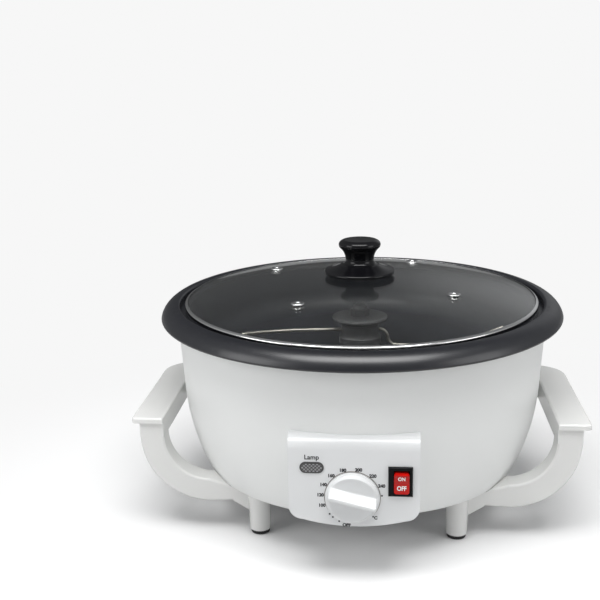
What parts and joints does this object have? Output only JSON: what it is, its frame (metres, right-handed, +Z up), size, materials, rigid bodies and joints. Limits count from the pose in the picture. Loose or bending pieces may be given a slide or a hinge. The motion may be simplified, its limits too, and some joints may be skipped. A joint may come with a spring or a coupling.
{
  "type": "home_coffee_bean_roaster",
  "caption": "Countertop coffee bean roaster: white shell on stub feet, black non-stick pan with a motor-driven wire stirrer, domed glass lid, thermostat dial, rocker switch and side grips",
  "frame": {"origin": "middle of the object's box in plan, on the floor; the pan's axis is parallel to Z, 1.3 mm behind it", "axes": "+X to the viewer's right across the control panel, +Y to the rear, +Z up"},
  "size_m": [0.363, 0.3396, 0.2268],
  "materials": {
    "shell_white": "satin",
    "moulded_white": "gloss",
    "sheet_steel": "satin",
    "zinc_steel": "satin",
    "nonstick_black": "matte speckled",
    "tempered_glass": "clear",
    "stainless": "polished",
    "knob_black": "gloss",
    "stirrer_black": "satin",
    "bronze": "machined",
    "silicone_grey": "matte",
    "gear_nylon": "matte",
    "copper": "enamelled",
    "ferrite": "matte",
    "element_sheath": "heat-darkened",
    "reflector_alloy": "mill",
    "brass_nut": "satin",
    "switch_black": "satin",
    "rocker_red": "gloss",
    "lamp_dark": "translucent",
    "lamp_glass": "clear",
    "pad_rubber": "matte",
    "porcelain": "glazed"
  },
  "bodies": {
    "housing": {"base_plate": "sheet_steel", "base_screws": "zinc_steel", "control_panel": "moulded_white", "element_clips": "zinc_steel", "foot_pads": "pad_rubber", "foot_screws": "zinc_steel", "front_foot_left": "moulded_white", "front_foot_right": "moulded_white", "gearbox_cover": "zinc_steel", "gearbox_cup": "zinc_steel", "handle_left": "moulded_white", "handle_right": "moulded_white", "handle_screws": "zinc_steel", "heat_reflector": "reflector_alloy", "heating_element": "element_sheath", "idler_pin": "zinc_steel", "inlet_frame": "shell_white", "inlet_pins": "brass_nut", "inlet_screws": "zinc_steel", "inlet_socket": "switch_black", "lamp_lens": "lamp_dark", "motor_bracket": "zinc_steel", "motor_case": "zinc_steel", "motor_coil": "copper", "neon_lamp": "lamp_glass", "outer_shell": "shell_white", "pan_studs": "zinc_steel", "panel_screws": "zinc_steel", "rear_foot_left": "moulded_white", "rear_foot_right": "moulded_white", "roasting_pan": "nonstick_black", "shaft_bush": "bronze", "shaft_seal": "silicone_grey", "stud_nuts": "zinc_steel", "stud_sleeves": "zinc_steel", "switch_body": "switch_black", "terminal_block": "porcelain", "thermal_fuse": "zinc_steel", "thermostat_body": "zinc_steel", "thermostat_nut": "brass_nut", "thermostat_probe": "copper"},
    "lid": {"lid_glass": "tempered_glass", "lid_band": "stainless", "vent_eyelets": "stainless", "lid_knob": "knob_black", "knob_washer": "knob_black", "knob_screw": "stainless"},
    "stirrer": {"stirrer_hub": "stirrer_black", "stirrer_arm_long": "stainless", "stirrer_arm_short": "stainless", "stirrer_cap_nut": "stirrer_black", "drive_shaft": "stainless", "output_gear": "gear_nylon"},
    "idler": {"idler_gear": "gear_nylon"},
    "rotor": {"motor_rotor": "ferrite"},
    "dial": {"thermostat_knob": "moulded_white", "thermostat_shaft": "zinc_steel"},
    "rocker": {"switch_rocker": "rocker_red"}
  },
  "joints": [
    {"name": "lid_lift", "type": "slide", "parent": "housing", "child": "lid", "axis": [0, 0, 1], "range_m": [0, 0.08]},
    {"name": "stirrer_spin", "type": "hinge", "parent": "housing", "child": "stirrer", "pos_m": [0, 0.0013, 0.13], "axis": [0, 0, 1], "continuous": true},
    {"name": "idler_spin", "type": "hinge", "parent": "housing", "child": "idler", "pos_m": [0.024, 0.0013, 0.09], "axis": [0, 0, 1], "continuous": true},
    {"name": "rotor_spin", "type": "hinge", "parent": "housing", "child": "rotor", "pos_m": [0.009, 0.0013, 0.066], "axis": [0, 0, 1], "continuous": true},
    {"name": "dial_turn", "type": "hinge", "parent": "housing", "child": "dial", "pos_m": [-0.001, -0.1577, 0.068], "axis": [0, 1, 0], "range_deg": [-98, 156]},
    {"name": "rocker_tilt", "type": "hinge", "parent": "housing", "child": "rocker", "pos_m": [0.0336, -0.1552, 0.0814], "axis": [1, 0, 0], "range_deg": [-16, 0]}
  ],
  "couplings": [
    {"joint": "idler_spin", "follows": "stirrer_spin", "ratio": -4},
    {"joint": "rotor_spin", "follows": "stirrer_spin", "ratio": 16}
  ]
}
